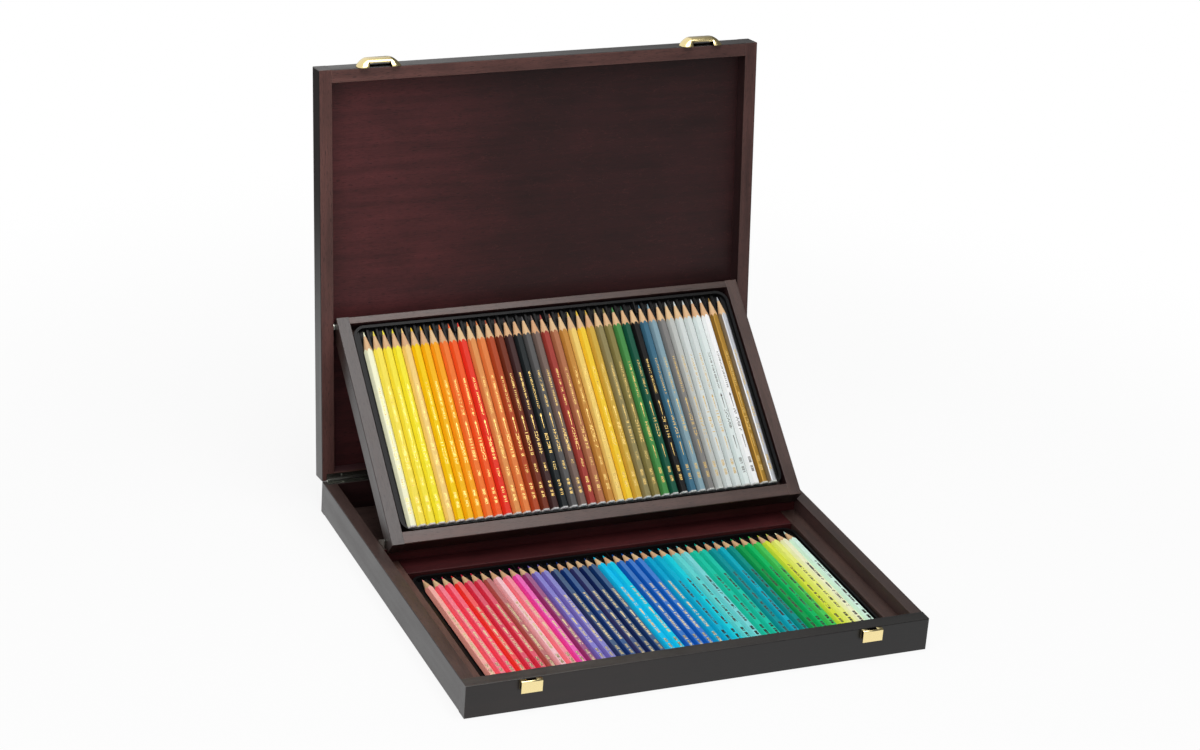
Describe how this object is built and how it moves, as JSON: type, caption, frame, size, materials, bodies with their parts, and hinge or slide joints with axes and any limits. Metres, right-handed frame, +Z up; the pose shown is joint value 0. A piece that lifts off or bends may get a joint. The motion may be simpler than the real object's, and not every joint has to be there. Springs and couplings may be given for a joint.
{
  "type": "pencil case",
  "caption": "Hinged wooden case for coloured pencils, with a lower tray in the base and an upper tray in a frame that swings up with the lid.",
  "frame": {"origin": "centre of the underside of the base", "axes": "+X to the right seen from the front, +Y towards the hinge at the back, +Z up"},
  "size_m": [0.378, 0.403, 0.3701],
  "materials": {
    "case_wood": "dark stain under satin lacquer",
    "panel_wood": "dark stain under satin lacquer",
    "frame_wood": "dark stain under satin lacquer",
    "tray_plastic": "pressed black sheet",
    "catch_brass": "bright plated",
    "hinge_metal": "rolled",
    "bracket_metal": "plated sheet",
    "pivot_steel": "turned",
    "pencils_upper_1": "lacquered paint",
    "pencils_upper_2": "lacquered paint",
    "pencils_upper_3": "lacquered paint",
    "pencils_upper_4": "lacquered paint",
    "pencils_lower_1": "lacquered paint",
    "pencils_lower_2": "lacquered paint",
    "pencils_lower_3": "lacquered paint",
    "pencils_lower_4": "lacquered paint"
  },
  "bodies": {
    "base": {"base_front_wall": "case_wood", "base_rear_wall": "case_wood", "base_left_wall": "case_wood", "base_right_wall": "case_wood", "base_bottom": "panel_wood", "ledge_left": "case_wood", "ledge_right": "case_wood", "deck_strip": "case_wood", "rest_bar": "case_wood", "rest_bracket_left": "bracket_metal", "rest_bracket_right": "bracket_metal", "lower_tray": "tray_plastic", "lower_pencils_1": "pencils_lower_1", "lower_pencils_2": "pencils_lower_2", "lower_pencils_3": "pencils_lower_3", "lower_pencils_4": "pencils_lower_4", "keeper_left": "catch_brass", "keeper_right": "catch_brass", "hinge_leaf_base": "hinge_metal", "hinge_pin": "hinge_metal"},
    "lid": {"lid_left_stile": "case_wood", "lid_right_stile": "case_wood", "lid_front_rail": "case_wood", "lid_rear_rail": "case_wood", "lid_panel": "panel_wood", "hinge_leaf_lid": "hinge_metal", "frame_pivot_left": "pivot_steel", "frame_pivot_right": "pivot_steel", "catch_plate_left": "catch_brass", "catch_plate_right": "catch_brass"},
    "tray_frame": {"frame_left_stile": "frame_wood", "frame_right_stile": "frame_wood", "frame_free_rail": "frame_wood", "frame_pivot_rail": "frame_wood", "frame_back_panel": "panel_wood", "upper_tray": "tray_plastic", "upper_pencils_1": "pencils_upper_1", "upper_pencils_2": "pencils_upper_2", "upper_pencils_3": "pencils_upper_3", "upper_pencils_4": "pencils_upper_4"},
    "left_catch": {"catch_lever_left": "catch_brass"},
    "right_catch": {"catch_lever_right": "catch_brass"}
  },
  "joints": [
    {"name": "lid_hinge", "type": "hinge", "parent": "base", "child": "lid", "pos_m": [0, 0.16975, 0.027], "axis": [1, 0, 0], "range_deg": [0, 97.2]},
    {"name": "tray_frame_pivot", "type": "hinge", "parent": "lid", "child": "tray_frame", "pos_m": [0, 0.18847, 0.15517], "axis": [1, 0, 0], "range_deg": [-134.78, 0]},
    {"name": "left_catch_turn", "type": "hinge", "parent": "lid", "child": "left_catch", "pos_m": [-0.139, 0.22095, 0.36526], "axis": [1, 0, 0], "range_deg": [-60, 0]},
    {"name": "right_catch_turn", "type": "hinge", "parent": "lid", "child": "right_catch", "pos_m": [0.139, 0.22095, 0.36526], "axis": [1, 0, 0], "range_deg": [-60, 0]}
  ],
  "couplings": [
    {"joint": "tray_frame_pivot", "follows": "lid_hinge", "ratio": -1.3866}
  ]
}
